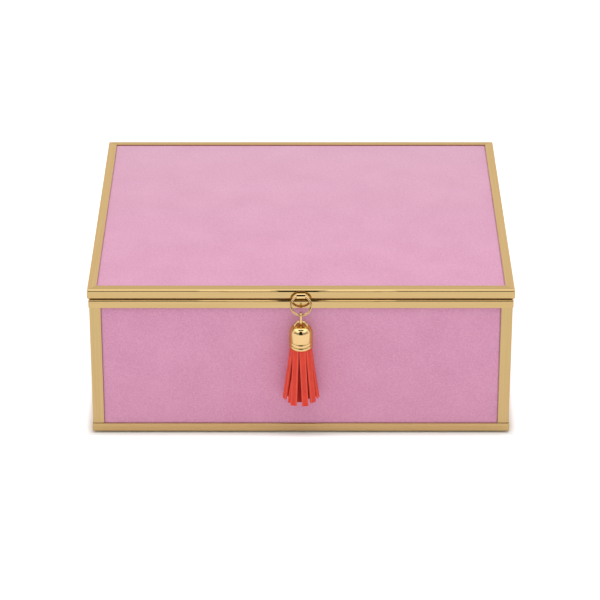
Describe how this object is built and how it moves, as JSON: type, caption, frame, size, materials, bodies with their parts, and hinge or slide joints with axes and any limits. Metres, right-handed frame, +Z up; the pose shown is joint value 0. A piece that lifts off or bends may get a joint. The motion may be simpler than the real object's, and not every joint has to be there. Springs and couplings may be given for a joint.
{
  "type": "jewelry box",
  "caption": "Hinged jewelry box with suede-covered panels in a brass frame, a ring pull with a suede tassel, and a lined interior with dividers and ring rolls.",
  "frame": {"origin": "centre of the base's underside, on the table", "axes": "-Y is the front with the tassel, +X to the right seen from the front, +Z up"},
  "size_m": [0.203, 0.195, 0.0771],
  "materials": {
    "pink_suede": "suede",
    "pink_lining": "suede",
    "brushed_brass": "brushed",
    "polished_brass": "polished",
    "coral_suede": "suede",
    "felt": "felt"
  },
  "bodies": {
    "base": {"base_felt": "felt", "floor_panel": "pink_suede", "front_panel": "pink_suede", "rear_panel": "pink_suede", "left_panel": "pink_suede", "right_panel": "pink_suede", "corner_post_front_left": "brushed_brass", "corner_post_front_right": "brushed_brass", "corner_post_rear_left": "brushed_brass", "corner_post_rear_right": "brushed_brass", "bottom_band_front": "brushed_brass", "bottom_band_rear": "brushed_brass", "bottom_band_left": "brushed_brass", "bottom_band_right": "brushed_brass", "rim_band_front": "brushed_brass", "rim_band_rear": "brushed_brass", "rim_band_left": "brushed_brass", "rim_band_right": "brushed_brass", "hinge_base_leaf_left": "brushed_brass", "hinge_base_leaf_right": "brushed_brass", "hinge_pin_left": "brushed_brass", "hinge_pin_right": "brushed_brass", "floor_lining": "pink_lining", "wall_lining_front": "pink_lining", "wall_lining_rear": "pink_lining", "wall_lining_left": "pink_lining", "wall_lining_right": "pink_lining", "divider_long": "pink_lining", "divider_front": "pink_lining", "divider_rear": "pink_lining", "ring_roll_1": "pink_lining", "ring_roll_2": "pink_lining", "ring_roll_3": "pink_lining", "ring_roll_4": "pink_lining", "ring_roll_5": "pink_lining"},
    "lid": {"lid_panel": "pink_suede", "lid_band_front": "brushed_brass", "lid_band_rear": "brushed_brass", "lid_band_left": "brushed_brass", "lid_band_right": "brushed_brass", "lid_lining": "pink_lining", "hinge_lid_leaf_left": "brushed_brass", "hinge_lid_leaf_right": "brushed_brass", "pull_tab": "polished_brass"},
    "ring": {"pull_ring": "polished_brass"},
    "link": {"tassel_link": "polished_brass"},
    "tassel": {"tassel_cap": "polished_brass", "tassel_root": "coral_suede", "tassel_strands": "coral_suede"}
  },
  "joints": [
    {"name": "lid_hinge", "type": "hinge", "parent": "base", "child": "lid", "pos_m": [0, 0.0915, 0.072], "axis": [-1, 0, 0], "range_deg": [0, 100]},
    {"name": "ring_swing", "type": "hinge", "parent": "lid", "child": "ring", "pos_m": [0, -0.09245, 0.07505], "axis": [-1, 0, 0], "range_deg": [0, 110]},
    {"name": "link_sway", "type": "hinge", "parent": "ring", "child": "link", "pos_m": [0, -0.09471, 0.06597], "axis": [0, 1, 0], "range_deg": [-25, 25]},
    {"name": "tassel_swing", "type": "hinge", "parent": "link", "child": "tassel", "pos_m": [0, -0.09471, 0.06282], "axis": [-1, 0, 0], "range_deg": [0, 60]}
  ]
}
